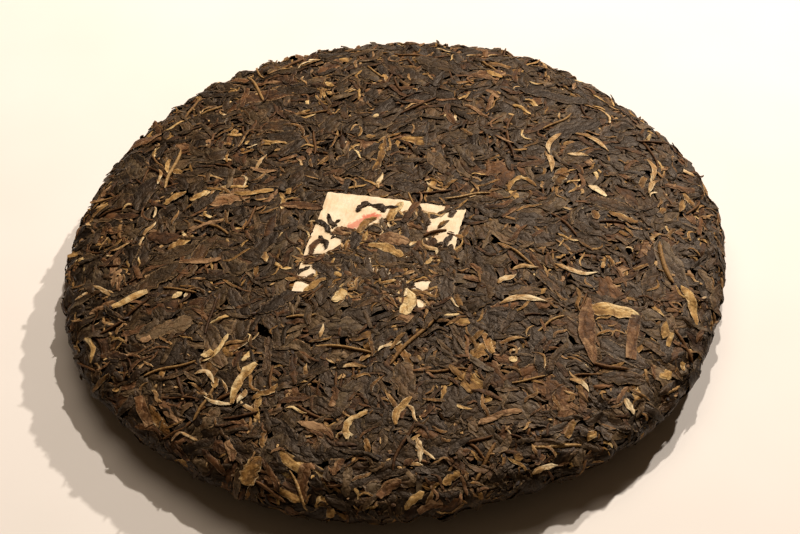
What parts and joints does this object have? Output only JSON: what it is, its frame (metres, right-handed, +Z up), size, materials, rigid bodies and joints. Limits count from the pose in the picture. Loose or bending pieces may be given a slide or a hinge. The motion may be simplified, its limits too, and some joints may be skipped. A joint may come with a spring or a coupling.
{
  "type": "pressed tea cake",
  "caption": "Round pressed cake of dark whole-leaf pu erh tea with a small square paper ticket set in its top.",
  "frame": {"origin": "under the middle of the cake, level with the flat ring that it lies on", "axes": "+Z up out of the domed top, +Y away from the picture's camera, +X to the picture's right"},
  "size_m": [0.2008, 0.2012, 0.0247],
  "materials": {
    "pressed_tea": "dry pressed leaves, dark brown to charcoal, with tan buds and stems",
    "ticket_paper": "thin unbleached cotton paper, matte, slightly creased"
  },
  "bodies": {
    "root": {"tea_cake": "pressed_tea", "paper_ticket": "ticket_paper"}
  },
  "joints": []
}
